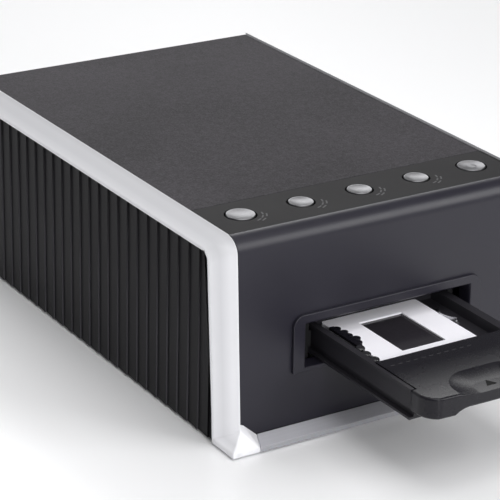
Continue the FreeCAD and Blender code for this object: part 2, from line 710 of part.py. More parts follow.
def slide_spring():
    """Bow of spring steel that presses on the slide's right edge, on two small feet."""
    radius, leaf, half_angle = 9.0, 0.35, math.radians(52)
    x, d = SLIDE_SIDE / 2 + 0.05 + radius, 5.5
    reach = radius * math.cos(half_angle)
    spread = radius * math.sin(half_angle)
    band = ring(radius, radius - leaf, at(x, d, SLIDE_H + 0.2), 2.0)
    bow = band.common(block((x - radius - 1, x - reach), (d - radius, d + radius), (30, 50)))
    feet = [block((x - reach - 0.9, x - reach + 0.5), (d + s * spread - 0.7, d + s * spread + 0.7),
                  (FLOOR_H[1], SLIDE_H + 0.5)) for s in (-1, 1)]
    return fuse(bow, *feet)


def half_mount(h, pocket):
    """One half of the slide mount; the lower one has a shallow pocket for the film."""
    side = SLIDE_SIDE / 2
    body = block((-side, side), (SLIDE_D - side, SLIDE_D + side), h)
    corners = [e for e in body.Edges if abs(e.BoundBox.ZLength - (h[1] - h[0])) < 0.01]
    body = body.makeFillet(1.5, corners)
    body = body.cut(block((-11.2, 11.2), (SLIDE_D - 16.0, SLIDE_D + 16.0), (30, 50)))
    if pocket:
        body = body.cut(block((-17.6, 17.6), (SLIDE_D - 19.1, SLIDE_D + 19.1), (h[1] - 0.25, 50)))
    return body


def film():
    return block((-17.5, 17.5), (SLIDE_D - 19, SLIDE_D + 19), (SLIDE_H + 0.68, SLIDE_H + 0.85))


# ---- the whole object ----
def build():
    trim, side = left_trim(), side_panel()
    parts.update(left_trim=trim, right_trim=mirrored(trim))
    parts.update(left_side_panel=side, right_side_panel=mirrored(side))
    parts["front_sill"] = front_sill()
    parts["front_panel"] = front_panel()
    parts["slot_bezel"] = slot_bezel()
    parts["top_panel"] = block((-PANEL_X, PANEL_X), (STRIP_D[1] + 0.2, BACK), (HEIGHT - TOP_WALL, HEIGHT))
    parts["button_strip"] = button_strip()
    parts["back_panel"] = back_panel()
    parts["base_plate"] = base_plate()
    parts["rubber_feet"] = rubber_feet()
    for i, (x, radius) in enumerate(BUTTONS[:4], 1):
        parts[f"function_button_{i}"] = button(x, radius)
    parts["power_button"] = button(*BUTTONS[4])

    parts["chassis"] = chassis()
    parts["housing_screws"] = housing_screws()
    parts["screw_nuts"] = screw_nuts()
    parts["left_tray_guide"] = tray_guide(-1)
    parts["right_tray_guide"] = tray_guide(1)
    parts["tray_buffer"] = tray_buffer()
    parts["optics_deck"] = optics_deck()
    parts["light_box"] = light_box()
    parts["led_board"] = led_board()
    parts["leds"] = leds()
    parts["diffuser"] = diffuser()
    parts["mirror_holder"] = mirror_holder()
    parts["mirror"] = mirror()
    parts["lens_barrel"] = lens_barrel()
    parts["front_lens"] = lens(LENS_D[0] + 1.0)
    parts["rear_lens"] = lens(LENS_D[1] - 1.0 - LENS_THICK)
    parts["lens_bracket"] = lens_bracket()
    parts["sensor_bracket"] = sensor_bracket()
    parts["sensor_board"] = sensor_board()
    parts["image_sensor"] = image_sensor()
    parts["main_board"] = main_board()
    parts["board_spacers"] = board_spacers()
    parts["board_chips"] = board_chips()
    parts["power_socket"] = power_socket()
    parts["data_socket"] = data_socket()
    parts["video_socket"] = video_socket()
    parts["button_board"] = button_board()
    parts["board_screws"] = board_screws()
    parts["tact_switches"] = tact_switches()
    parts["ribbon_cable"] = ribbon_cable()

    parts["tray_frame"] = tray_frame()
    parts["tray_handle"] = tray_handle()
    parts["tray_screws"] = tray_screws()
    parts["slide_pegs"] = slide_pegs()
    parts["slide_spring"] = slide_spring()
    parts["slide_mount_lower"] = half_mount((SLIDE_H, SLIDE_H + 0.9), True)
    parts["slide_mount_upper"] = half_mount((SLIDE_H + 0.9, SLIDE_H + 1.7), False)
    parts["film"] = film()


build()
os.makedirs("parts", exist_ok=True)
for name, shape in parts.items():
    shape.exportStep(f"parts/{name}.step")
    print(f"{name:22s} solids {len(shape.Solids)} valid {shape.isValid()} volume {shape.Volume:.1f}")
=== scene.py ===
"""Looks of the tabletop slide viewer: its visible shells, buttons, tray and slide."""
import json
import math
import bmesh
import bpy
from mathutils import Matrix, Vector

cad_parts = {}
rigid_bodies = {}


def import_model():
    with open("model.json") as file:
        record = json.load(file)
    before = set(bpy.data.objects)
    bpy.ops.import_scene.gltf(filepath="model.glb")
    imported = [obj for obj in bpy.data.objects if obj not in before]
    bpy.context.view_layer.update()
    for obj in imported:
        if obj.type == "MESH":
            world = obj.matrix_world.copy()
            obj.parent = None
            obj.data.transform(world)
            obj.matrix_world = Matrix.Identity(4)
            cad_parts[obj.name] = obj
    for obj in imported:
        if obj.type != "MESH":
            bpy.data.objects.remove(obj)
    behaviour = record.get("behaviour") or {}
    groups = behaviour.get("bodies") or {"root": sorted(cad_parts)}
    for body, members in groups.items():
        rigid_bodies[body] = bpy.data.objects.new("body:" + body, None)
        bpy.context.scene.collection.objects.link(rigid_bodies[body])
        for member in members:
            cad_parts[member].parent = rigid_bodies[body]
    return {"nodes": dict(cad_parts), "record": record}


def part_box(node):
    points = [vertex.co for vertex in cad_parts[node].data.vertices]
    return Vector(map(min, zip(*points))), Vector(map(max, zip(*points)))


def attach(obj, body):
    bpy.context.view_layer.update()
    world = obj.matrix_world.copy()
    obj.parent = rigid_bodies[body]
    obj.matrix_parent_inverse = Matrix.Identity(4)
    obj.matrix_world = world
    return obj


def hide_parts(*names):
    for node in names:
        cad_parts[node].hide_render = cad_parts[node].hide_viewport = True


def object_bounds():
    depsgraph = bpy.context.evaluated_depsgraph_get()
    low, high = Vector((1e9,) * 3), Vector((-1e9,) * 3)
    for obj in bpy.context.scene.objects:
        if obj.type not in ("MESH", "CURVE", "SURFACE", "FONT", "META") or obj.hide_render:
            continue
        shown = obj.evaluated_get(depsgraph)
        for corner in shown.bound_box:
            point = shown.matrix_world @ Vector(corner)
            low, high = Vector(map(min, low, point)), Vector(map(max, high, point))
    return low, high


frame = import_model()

CAD_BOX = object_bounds()
MM = 0.001
CAMERA_PLACE = (-0.53131, -0.79508, 0.44254)
CAMERA_TURNS = (-32.77, 22.59, 1.42)    # azimuth, elevation and roll in degrees
CAMERA_LENS = 163.8


# ---- camera, light and floor ----
def add_camera():
    """Long lens, above and to the left of the front."""
    azimuth, elevation, roll = (math.radians(a) for a in CAMERA_TURNS)
    flat = math.cos(elevation)
    back = Vector((math.sin(azimuth) * flat, -math.cos(azimuth) * flat, math.sin(elevation)))
    right = (-back).cross(Vector((0, 0, 1))).normalized()
    up = right.cross(-back)
    across = math.cos(roll) * right + math.sin(roll) * up
    upright = math.cos(roll) * up - math.sin(roll) * right
    data = bpy.data.cameras.new("camera")
    data.lens = CAMERA_LENS
    data.clip_end = 20
    camera = bpy.data.objects.new("camera", data)
    camera.matrix_world = Matrix((across, upright, back)).transposed().to_4x4()
    camera.location = CAMERA_PLACE
    bpy.context.scene.collection.objects.link(camera)
    bpy.context.scene.camera = camera


def area_light(name, place, target, size, power):
    """Square soft box aimed at a point."""
    data = bpy.data.lights.new(name, "AREA")
    data.shape = "RECTANGLE"
    data.size = data.size_y = size
    data.energy = power
    light = bpy.data.objects.new(name, data)
    light.location = place
    light.rotation_euler = (Vector(target) - Vector(place)).to_track_quat("-Z", "Y").to_euler()
    bpy.context.scene.collection.objects.link(light)


SOFT_BOXES = {  # place, aim, size in metres and power in watts
    "top front": ((0, -0.5, 1.1), (0, -0.1, 0.05), 0.8, 4.5),
    "top": ((0, 0.1, 1.3), (0, 0.1, 0), 1.0, 4.1),
    "left": ((-1.3, 0, 0.7), (0, 0, 0.05), 0.8, 1.2),
    "back left": ((-1.0, 1.2, 0.9), (0, 0.2, 0), 1.0, 3.5),
    "front right": ((0.9, -1.0, 0.8), (0, -0.1, 0.05), 0.8, 11.5),
    "front": ((-0.25, -1.4, 0.55), (0, -0.1, 0.05), 0.6, 9.2),
    "front left": ((-0.9, -1.0, 0.9), (0, -0.1, 0.05), 0.8, 0.8),
    "far floor": ((0.9, 2.0, 1.2), (0.9, 2.0, 0), 1.8, 42.0),
}


def add_studio():
    """Soft boxes round a pale floor, one of them over its far part."""
    bpy.context.scene.view_settings.view_transform = "Standard"
    world = bpy.data.worlds.new("studio")
    world.use_nodes = True
    background = world.node_tree.nodes["Background"]
    background.inputs["Color"].default_value = (0.97, 0.98, 1.0, 1)
    background.inputs["Strength"].default_value = 0.06
    bpy.context.scene.world = world
    for name, settings in SOFT_BOXES.items():
        area_light(name, *settings)
    bpy.ops.mesh.primitive_plane_add(size=12, location=(0, 0, 0))
    floor = bpy.context.object
    floor.name = "floor"
    finish = Finish("pale floor")
    finish.surface((0.93, 0.93, 0.94), 0.30)
    finish.put_on(floor)


# ---- materials ----
class Maths:
    """A shader socket or number that takes part in Python expressions."""

    def __init__(self, finish, socket):
        self.finish = finish
        self.socket = socket

    def __add__(self, other):
        return self.finish.sums("ADD", self, other)

    def __sub__(self, other):
        return self.finish.sums("SUBTRACT", self, other)

    def __mul__(self, other):
        return self.finish.sums("MULTIPLY", self, other)

    def __truediv__(self, other):
        return self.finish.sums("DIVIDE", self, other)

    __radd__ = __add__


class Finish:
    """A material built from expressions."""

    def __init__(self, name):
        self.material = bpy.data.materials.new(name)
        self.material.use_nodes = True
        self.tree = self.material.node_tree
        self.shader = self.tree.nodes["Principled BSDF"]
        self.place = self.node("ShaderNodeTexCoord", {}, (), out="Object")

    def node(self, kind, settings, inputs, out=0):
        """Adds a node. Settings come first, then inputs by order or by name."""
        node = self.tree.nodes.new(kind)
        for key, value in settings.items():
            if key == "stops":
                for stop, (at, shade) in zip(node.color_ramp.elements, value):
                    stop.position = at
                    stop.color = (shade, shade, shade, 1)
            else:
                setattr(node, key, value)
        pairs = inputs.items() if isinstance(inputs, dict) else enumerate(inputs)
        for key, value in pairs:
            if isinstance(value, Maths):
                self.tree.links.new(value.socket, node.inputs[key])
            else:
                node.inputs[key].default_value = value
        return Maths(self, node.outputs[out])

    def stretched(self, scale):
        """Object coordinates in metres, scaled along the axes."""
        return self.node("ShaderNodeMapping", {}, {"Vector": self.place, "Scale": scale})

    def noise(self, scale, detail=3.0, roughness=0.55, where=None):
        """Soft noise between 0 and 1; the scale is in features to a metre."""
        return self.node("ShaderNodeTexNoise", {}, {"Vector": where or self.place, "Scale": scale,
                                                    "Detail": detail, "Roughness": roughness})

    def cells(self, scale):
        """Distance from the middle of the nearest cell."""
        return self.node("ShaderNodeTexVoronoi", {}, {"Vector": self.place, "Scale": scale})

    def ramp(self, value, first, last):
        """Straight run between two (position, shade) stops."""
        return self.node("ShaderNodeValToRGB", {"stops": (first, last)}, {"Fac": value})

    def axis(self, letter):
        return self.node("ShaderNodeSeparateXYZ", {}, {"Vector": self.place}, out=letter)

    def blend(self, factor, first, second):
        """Colour between two colours."""
        values = {"Factor": factor, 6: rgba(first), 7: rgba(second)}
        return self.node("ShaderNodeMix", {"data_type": "RGBA"}, values, out=2)

    def bump(self, height, distance, strength=1.0):
        """Normal of a surface raised by up to the distance, in metres."""
        return self.node("ShaderNodeBump", {}, {"Height": height, "Distance": distance,
                                                "Strength": strength})

    def sums(self, operation, *values):
        """One Math node."""
        return self.node("ShaderNodeMath", {"operation": operation}, values)

    def surface(self, color, roughness, metallic=0.0, normal=None, **fixed):
        """Joins what varies to the shader and sets what is uniform on its own sockets."""
        varying = {"Base Color": color, "Roughness": roughness, "Metallic": metallic}
        if normal is not None:
            varying["Normal"] = normal
        for key, value in varying.items():
            socket = self.shader.inputs[key]
            if isinstance(value, Maths):
                self.tree.links.new(value.socket, socket)
            else:
                socket.default_value = rgba(value) if key == "Base Color" else value
        for key, value in fixed.items():
            label = key.replace("_", " ").title().replace("Ior", "IOR")
            self.shader.inputs[label].default_value = value

    def put_on(self, *objects):
        for obj in objects:
            obj.data.materials.clear()
            obj.data.materials.append(self.material)


def rgba(color):
    return color if isinstance(color, Maths) else (*color, 1.0)


def pearl_paint():
    """Pale silver paint with fine flakes, a little duller in patches, with painted shade in a band
    along the bevel's crease and over the top.
    """
    f = Finish("pearl silver paint")
    patches = f.noise(26, 4, 0.6)
    flakes = f.noise(9000, 1, 0.5)
    across = f.sums("ABSOLUTE", f.axis("X"))
    crease, half_width = 80.6 * MM, 2.6 * MM    # from the middle of the housing
    # painted shade: a darker band along the crease of the bevel, standing in for the shading of its
    # curve
    band = f.sums("ABSOLUTE", (across - crease) / half_width)
    tarnish_and_painted_shade = f.ramp(band, (0.0, 1.0), (1.0, 0.0))
    # shade mixes random duller patches with the painted shade band
    shade = patches * 0.25 + tarnish_and_painted_shade * 0.75
    # lit and shaded copies of the paint: paler on the upright faces, painted shade on the top,
    # changing between 89 and 93 mm high
    upright = f.blend(shade, (0.93, 0.93, 0.96), (0.76, 0.76, 0.79))
    painted_shade_top = f.blend(shade, (0.70, 0.70, 0.725), (0.56, 0.56, 0.585))
    height = f.axis("Z") / (100 * MM)
    color = f.blend(f.ramp(height, (0.89, 0.0), (0.93, 1.0)), upright, painted_shade_top)
    f.surface(color, 0.34 + patches * 0.10 + flakes * 0.06, 0.08, f.bump(flakes, 4e-6, 0.5))
    return f


def brushed_sill(name="brushed aluminium sill", light=1.0):
    """Aluminium brushed along its length. A light below 1 darkens all its colours, as painted shade.
    """
    f = Finish(name)
    lines = f.noise(1.0, 5, 0.7, f.stretched((12, 5200, 5200)))
    patches = f.noise(30, 3)
    dark, pale = ([light * c for c in color] for color in ((0.50, 0.50, 0.54), (0.74, 0.74, 0.79)))
    color = f.blend(lines, dark, pale)
    f.surface(color, 0.34 + lines * 0.16 + patches * 0.06, 0.2, f.bump(lines, 6e-6))
    return f


def gloss_black(name, color, roughness=0.16, ripple=220, specular=0.5):
    """Moulded gloss plastic: faint ripple, dust dulling it in patches."""
    f = Finish(name)
    waves = f.noise(ripple, 2, 0.4)
    dust = f.noise(35, 5, 0.65)
    specks = f.ramp(f.noise(2600, 2, 0.6), (0.62, 0.0), (0.72, 1.0))
    tint = f.blend(dust * 0.5 + specks * 0.15, color, [c * 1.5 + 0.004 for c in color])
    f.surface(tint, roughness + dust * 0.10 + specks * 0.15, 0.0, f.bump(waves, 1.2e-5, 0.6),
              specular_ior_level=specular)
    return f


def satin_plastic(name, color, roughness=0.45, grain=5200, depth=1.6e-5, specular=0.5):
    """Spark-eroded plastic with an even fine grain."""
    f = Finish(name)
    tooth = f.noise(grain, 3, 0.7)
    patches = f.noise(24, 4)
    light = [c * 1.6 + 0.012 for c in color]
    tint = f.blend(patches * 0.4, color, light)
    f.surface(tint, roughness + patches * 0.10, 0.0, f.bump(tooth, depth),
              specular_ior_level=specular)
    return f


def pleat_steps():
    """Front faces of the pleats with painted light: paler low down, dark near the top."""
    f = Finish("paler pleat steps")
    height = f.node("ShaderNodeMapRange", {}, {"Value": f.axis("Z") + f.noise(60, 3) * (12 * MM),
                                               "From Min": 45 * MM, "From Max": 88 * MM})
    f.surface(f.blend(height, (0.060, 0.058, 0.065), (0.010, 0.0095, 0.011)), 0.45,
              0.0, f.bump(f.noise(5200, 3, 0.7), 1.6e-5), specular_ior_level=0.3)
    return f


def leatherette():
    """Fine black leather grain: irregular cells with soft creases and cloudy pale patches."""
    f = Finish("black leatherette")
    warp = f.noise(700, 3, 0.6)
    cells = f.cells(1500)
    creases = f.ramp(cells, (0.15, 0.0), (0.75, 1.0))
    fibres = f.noise(4200, 3, 0.65)
    blotches = f.noise(340, 4, 0.75)
    clouds = f.noise(12, 3, 0.5)
    shade = f.ramp(creases * 0.2 + blotches * 0.55 + clouds * 0.25, (0.34, 0.0), (0.68, 1.0))
    tint = f.blend(shade, (0.0035, 0.003, 0.0045), (0.045, 0.040, 0.048))
    height = creases * 0.5 + warp * 0.3 + fibres * 0.2
    f.surface(tint, 0.62 + blotches * 0.18, 0.0, f.bump(height, 8e-5, 0.8), specular_ior_level=0.28)
    return f


def brushed_metal(name, color, roughness=0.25, stretch=(60, 2600, 2600)):
    """Sheet or bar metal with brush lines and cloudy tarnish."""
    f = Finish(name)
    lines = f.noise(1.0, 4, 0.7, f.stretched(stretch))
    clouds = f.noise(45, 4)
    tarnish_and_painted_shade = [c * 0.72 for c in color]
    f.surface(f.blend(lines * 0.5 + clouds * 0.5, tarnish_and_painted_shade, color), roughness + lines * 0.15, 1.0,
              f.bump(lines, 5e-6))
    return f


def rubber():
    """Matt black rubber with a little dust."""
    f = Finish("black rubber")
    tooth = f.noise(3000, 4, 0.7)
    dust = f.noise(60, 5, 0.6)
    tint = f.blend(dust, (0.012, 0.012, 0.012), (0.045, 0.044, 0.042))
    f.surface(tint, 0.75 + tooth * 0.15, 0.0, f.bump(tooth, 4e-5), specular_ior_level=0.3)
    return f


# ---- modelling helpers ----
def select_only(piece):
    for other in bpy.context.view_layer.objects:
        other.select_set(False)
    piece.select_set(True)
    bpy.context.view_layer.objects.active = piece


def edit(piece):
    """Opens only this piece for editing, with nothing in it selected."""
    select_only(piece)
    bpy.ops.object.mode_set(mode="EDIT")
    bpy.ops.mesh.select_all(action="DESELECT")


def object_mode():
    bpy.ops.object.mode_set(mode="OBJECT")


def copy_of(node, name):
    """A merged copy of a CAD node's mesh, with flat areas as single faces."""
    source = frame["nodes"][node]
    piece = bpy.data.objects.new(name, source.data.copy())
    bpy.context.scene.collection.objects.link(piece)
    edit(piece)
    bpy.ops.mesh.select_all(action="SELECT")
    bpy.ops.mesh.remove_doubles(threshold=2e-6)
    bpy.ops.mesh.dissolve_limited(angle_limit=math.radians(0.6))
    object_mode()
    return piece


def soften(piece, width, segments=3, angle=35):
    """Rounds every edge sharper than the angle, then shades smoothly."""
    bevel = piece.modifiers.new("rounded edges", "BEVEL")
    bevel.width = width
    bevel.segments = segments
    bevel.limit_method = "ANGLE"
    bevel.angle_limit = math.radians(angle)
    apply_modifiers(piece)
    smooth(piece, 30)
    return piece


def apply_modifiers(piece):
    select_only(piece)
    for modifier in list(piece.modifiers):
        bpy.ops.object.modifier_apply(modifier=modifier.name)


def smooth(piece, angle):
    """Smooth shading up to the angle, with flat faces kept flat."""
    select_only(piece)
    bpy.ops.object.shade_smooth_by_angle(angle=math.radians(angle))
    even = piece.modifiers.new("even shading", "WEIGHTED_NORMAL")
    even.keep_sharp = True
    even.weight = 80
    bpy.ops.object.modifier_apply(modifier=even.name)


def centre_of(node):
    """Middle and size of a CAD node's box."""
    low, high = (Vector(c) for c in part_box(node))
    return (low + high) / 2, high - low


def pick(piece, test):
    """In edit mode, selects the faces whose centre and normal pass the test."""
    bpy.ops.mesh.select_mode(type="FACE")
    bpy.ops.mesh.select_all(action="DESELECT")
    mesh = bmesh.from_edit_mesh(piece.data)
    for face in mesh.faces:
        if test(face.calc_center_median(), face.normal):
            face.select_set(True)
    bmesh.update_edit_mesh(piece.data)


def pick_end(piece, sign):
    """Selects the highest (1) or lowest (-1) flat face."""
    mesh = bmesh.from_edit_mesh(piece.data)
    edge = max(sign * face.calc_center_median().z for face in mesh.faces)
    pick(piece, lambda centre, normal: sign * centre.z > edge - 1e-7 and sign * normal.z > 0.99)


def ring_in(width, rise=0.0):
    """Insets the picked face by a width and lifts what is left inside."""
    bpy.ops.mesh.inset(thickness=width, use_even_offset=True)
    bpy.ops.transform.translate(value=(0, 0, rise))


def push(distance):
    """Extrudes the picked face upwards, or downwards if negative."""
    bpy.ops.mesh.extrude_region_move(TRANSFORM_OT_translate={"value": (0, 0, distance)})


def named(name):
    """Names the active object and fixes its place in its mesh."""
    piece = bpy.context.object
    piece.name = name
    bpy.ops.object.transform_apply(location=True, rotation=True, scale=True)
    return piece


def pick_edges(piece, test):
    """In edit mode, selects the edges whose two ends pass the test."""
    bpy.ops.mesh.select_mode(type="EDGE")
    bpy.ops.mesh.select_all(action="DESELECT")
    mesh = bmesh.from_edit_mesh(piece.data)
    for edge in mesh.edges:
        if test(edge.verts[0].co, edge.verts[1].co):
            edge.select_set(True)
    bmesh.update_edit_mesh(piece.data)


def boolean(piece, other, operation):
    """Joins, cuts or meets the piece with another one, which is used up."""
    cut = piece.modifiers.new("cut", "BOOLEAN")
    cut.operation = operation
    cut.object = other
    cut.solver = "EXACT"
    apply_modifiers(piece)
    bpy.data.objects.remove(other)


def stand_for(piece, body, slot, *nodes):
    """Puts the piece in the place of CAD nodes."""
    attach(piece, body)
    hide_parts(*nodes)


SLOT_OF = {part["node"]: part["material_slot"] for part in frame["record"]["subparts"]}
BODIES = frame["record"]["behaviour"]["bodies"]
BODY_OF = {node: body for body, nodes in BODIES.items() for node in nodes}


def refined(node, name, width, finish, segments=3, angle=35):
    """Takes over a CAD piece with its edges rounded and a finish on it."""
    piece = soften(copy_of(node, name), width, segments, angle)
    finish.put_on(piece)
    stand_for(piece, BODY_OF[node], SLOT_OF[node], node)
    return piece


# ---- housing ----
def raise_inner_edge(trim, rise):
    """Stands the strip a little proud of the top beside it."""
    edit(trim)
    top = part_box("top_panel")[1].z - 0.01 * MM
    pick_edges(trim, lambda a, b: a.z > top and b.z > top)
    bpy.ops.transform.translate(value=(0, 0, rise))
    object_mode()
    return trim


def paint_front_faces(piece, finish, tilt, behind):
    """Gives a second finish to the faces that look forward and lie behind a given Y."""
    piece.data.materials.append(finish.material)
    for face in piece.data.polygons:
        if face.normal.y < -tilt and face.center.y > behind:
            face.material_index = 1


def make_housing():
    """Silver frames, sill, front, top, button strip, sides, back, base and feet."""
    silver = pearl_paint()
    for node, name, rise in (("left_trim", "silver_frame_left", 0.4 * MM),
                             ("right_trim", "silver_frame_right", 1.3 * MM)):
        trim = raise_inner_edge(copy_of(node, name), rise)
        soften(trim, 1.0 * MM, 5, 12)
        silver.put_on(trim)
        stand_for(trim, "housing", "silver_frame", node)
    sill = refined("front_sill", "sill", 0.25 * MM, brushed_sill())
    front_end = CAD_BOX[0][1]
    # painted shade: the sill's forward faces get a darker copy of the aluminium
    paint_front_faces(sill, brushed_sill("shaded edge of the sill", 0.62), 0.7, front_end)
    front = gloss_black("gloss black front", (0.011, 0.010, 0.017), 0.34, specular=0.42)
    refined("front_panel", "front", 0.06 * MM, front)
    refined("slot_bezel", "bezel", 0.5 * MM, front)
    refined("top_panel", "leatherette_top", 0.25 * MM, leatherette())
    strip = satin_plastic("satin grey strip", (0.0045, 0.004, 0.005), 0.55, specular=0.16)
    refined("button_strip", "control_strip", 0.05 * MM, strip)
    pleats = satin_plastic("satin black pleats", (0.0045, 0.004, 0.0055), 0.5, specular=0.15)
    steps = pleat_steps()
    first_step = front_end + 96 * MM
    for node, name in (("left_side_panel", "pleats_left"), ("right_side_panel", "pleats_right")):
        side = refined(node, name, 0.12 * MM, pleats, 2)
        # painted light: the forward-facing pleat steps behind the first 96 mm get the paler,
        # painted-lit finish
        paint_front_faces(side, steps, 0.6, first_step)
    shell = satin_plastic("textured black shell", (0.014, 0.014, 0.015), 0.55, 2400, 4e-5)
    refined("back_panel", "back", 0.2 * MM, shell, 2)
    refined("base_plate", "base", 0.3 * MM, shell, 2)
    rubber().put_on(*(frame["nodes"][n] for n in ("rubber_feet", "tray_buffer")))


# ---- buttons ----
def make_button(node, metal):
    """Turned cap: bright bevel, shallow dish cut in rings, collar and stem below."""
    centre, size = centre_of(node)
    low, high = (Vector(c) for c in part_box(node))
    collar, stem, brim = 1.75 * MM, 2.0 * MM, 1.55 * MM    # height, radius, overhang
    radius = size.x / 2 - brim
    cap_height = 4.5 * MM
    collar_low = high.z - cap_height
    bpy.ops.mesh.primitive_cylinder_add(vertices=96, radius=size.x / 2, depth=collar,
                                        location=(centre.x, centre.y, collar_low + collar / 2))
    piece = named(node.replace("function_", "") + "_cap")
    edit(piece)
    pick_end(piece, 1)
    ring_in(brim)
    bevel, land = 0.6 * MM, 0.16 * MM
    push(high.z - bevel - collar_low - collar)
    ring_in(0.02 * MM, 0.5 * bevel)
    ring_in(0.5 * bevel, 0.5 * bevel)
    ring_in(land)
    rings, depth, flat = 14, 0.55 * MM, 0.9 * MM
    width = (radius - flat) / rings
    for i in range(rings):
        ring_in(width, -depth * (2 * (rings - i) - 1) / rings ** 2)
    pick_end(piece, -1)
    ring_in(size.x / 2 - stem)
    push(low.z - collar_low)
    object_mode()
    smooth(piece, 24)
    metal.put_on(piece)
    stand_for(piece, BODY_OF[node], "button_metal", node)


def flat_arc(name, centre, height, radius, width, start, end, finish, body):
    """Thin printed arc lying on a surface; angles in degrees from +X."""
    bpy.ops.mesh.primitive_plane_add(size=1, location=(centre.x + radius, centre.y, height))
    piece = bpy.context.object
    sliver, thickness, step = 0.02 * MM, 0.04 * MM, 6
    piece.scale = (width, sliver, 1)
    piece = named(name)
    pivot = (centre.x, centre.y, height)
    edit(piece)
    bpy.ops.mesh.select_all(action="SELECT")
    bpy.ops.transform.rotate(value=-math.radians(start), orient_axis="Z", center_override=pivot)
    along = Vector((-math.sin(math.radians(start)), math.cos(math.radians(start)), 0))
    middle = Vector(pivot) + radius * Vector((along.y, -along.x, 0))
    bpy.ops.mesh.select_all(action="DESELECT")
    pick_edges(piece, lambda a, b: (a - middle).dot(along) > 0 and (b - middle).dot(along) > 0)
    steps = max(4, round(abs(end - start) / step))
    bpy.ops.mesh.spin(steps=steps, angle=-math.radians(end - start), center=pivot, axis=(0, 0, 1))
    bpy.ops.mesh.select_all(action="SELECT")
    bpy.ops.mesh.extrude_region_move(TRANSFORM_OT_translate={"value": (0, 0, thickness)})
    bpy.ops.mesh.select_all(action="SELECT")
    bpy.ops.mesh.normals_make_consistent(inside=False)
    object_mode()
    finish.put_on(piece)
    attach(piece, body)


MARK_RINGS = ((9.3, (-74, -50, -27)), (10.9, (-66, -38)))    # radius in mm, where dashes start
DASH = 17    # degrees


def make_buttons():
    """The caps, plain dashes beside the function buttons and a plain arc on the last cap."""
    metal = turned_metal()
    nodes = [node for node, slot in SLOT_OF.items() if slot == "button_metal"]
    print_grey = satin_plastic("pale grey print", (0.075, 0.073, 0.077), 0.6, specular=0.2)
    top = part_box("button_strip")[1][2]
    for node in nodes:
        make_button(node, metal)
        centre = centre_of(node)[0]
        if node != "power_button":
            for ring, (reach, starts) in enumerate(MARK_RINGS):
                for dash, start in enumerate(starts):
                    flat_arc(f"{node}_mark_{ring}_{dash}", centre, top + 0.02 * MM, reach * MM,
                             0.7 * MM, start, start + DASH, print_grey, "housing")
    centre = centre_of("power_button")[0]
    ink = satin_plastic("dark inlay", (0.10, 0.10, 0.11), 0.4)
    in_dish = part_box("power_button")[1][2] - 0.30 * MM
    flat_arc("power_mark", centre, in_dish, 2.2 * MM, 0.45 * MM, 120, 420, ink, "power_button")


def turned_metal():
    """Steel turned on a lathe: rings round each cap's middle, with a soft radial sheen."""
    f = Finish("turned button metal")
    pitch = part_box("function_button_2")[0][0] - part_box("function_button_1")[0][0] - 0.8 * MM
    first = centre_of("function_button_1")[0]
    rings_to_a_metre = 5200
    x = f.axis("X") - first.x + pitch / 2
    x = f.sums("MODULO", x, pitch) - pitch / 2
    y = f.axis("Y") - first.y
    distance = f.sums("SQRT", x * x + y * y)
    outward = f.node("ShaderNodeCombineXYZ", {}, (distance * rings_to_a_metre, 0.0, 0.0))
    rings = f.noise(1.0, 2, 0.6, outward)
    clouds = f.noise(900, 3)
    tint = f.blend(rings * 0.6 + clouds * 0.4, (0.09, 0.09, 0.095), (0.25, 0.25, 0.26))
    f.surface(tint, 0.26 + rings * 0.18, 1.0, f.bump(rings, 7e-6))
    return f


# ---- tray ----
def make_handle(gloss):
    """Cover plate and grip: bowed front, round corners, thumb dish on top, scoop below."""
    low, high = (Vector(c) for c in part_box("tray_handle"))
    middle = (low.x + high.x) / 2
    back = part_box("tray_frame")[0][1] - 0.15 * MM
    height = high.z - low.z
    bpy.ops.mesh.primitive_cube_add(size=1, location=(middle, (low.y + back) / 2, low.z + height / 2),
                                    scale=(high.x - low.x, back - low.y, height))
    grip = named("handle")
    edit(grip)
    bow, corner = 480 * MM, 9.4 * MM
    pick_edges(grip, lambda a, b: abs(a.z - b.z) > 1 * MM and a.y < low.y + 5 * MM)
    bpy.ops.mesh.bevel(offset=corner, segments=14, affect="EDGES")
    object_mode()
    bpy.ops.mesh.primitive_cylinder_add(vertices=720, radius=bow, depth=3 * height,
                                        location=(middle, low.y + bow, low.z + height / 2))
    boolean(grip, named("bow"), "INTERSECT")
    boolean(grip, scoop_cutter(middle, low, back), "DIFFERENCE")
    soften(grip, 1.15 * MM, 4, 40)
    gap, plate, lap = 2.6 * MM, 2 * MM, 1 * MM
    cover_middle = (middle, (high.y + back - lap) / 2, high.z - plate / 2)
    bpy.ops.mesh.primitive_cube_add(size=1, location=cover_middle,
                                    scale=(high.x - low.x - 2 * gap, high.y - back + lap, plate))
    boolean(grip, soften(named("cover plate"), 0.25 * MM, 2, 40), "UNION")
    boolean(grip, dish_cutter(middle, low.y, high.z), "DIFFERENCE")
    smooth(grip, 30)
    gloss.put_on(grip)
    stand_for(grip, "tray", "tray_gloss", "tray_handle")


def scoop_cutter(middle, low, back):
    """Takes a soft wave out of the grip's underside."""
    rise, wide, flare, corner = 2.5 * MM, 39 * MM, 7 * MM, 3.4 * MM
    bpy.ops.mesh.primitive_cube_add(size=1, scale=(wide, back - low.y + 4 * MM, 2 * rise),
                                    location=(middle, (low.y + back) / 2 - 1 * MM, low.z))
    cutter = named("scoop")
    edit(cutter)
    pick(cutter, lambda centre, normal: normal.z < -0.9)
    bpy.ops.transform.resize(value=((wide + 2 * flare) / wide, 1, 1),
                             center_override=(middle, back, low.z))
    bpy.ops.mesh.select_all(action="DESELECT")
    pick_edges(cutter, lambda a, b: abs(a.y - b.y) > 1 * MM and a.z > low.z)
    bpy.ops.mesh.bevel(offset=corner, segments=8, affect="EDGES")
    object_mode()
    return cutter


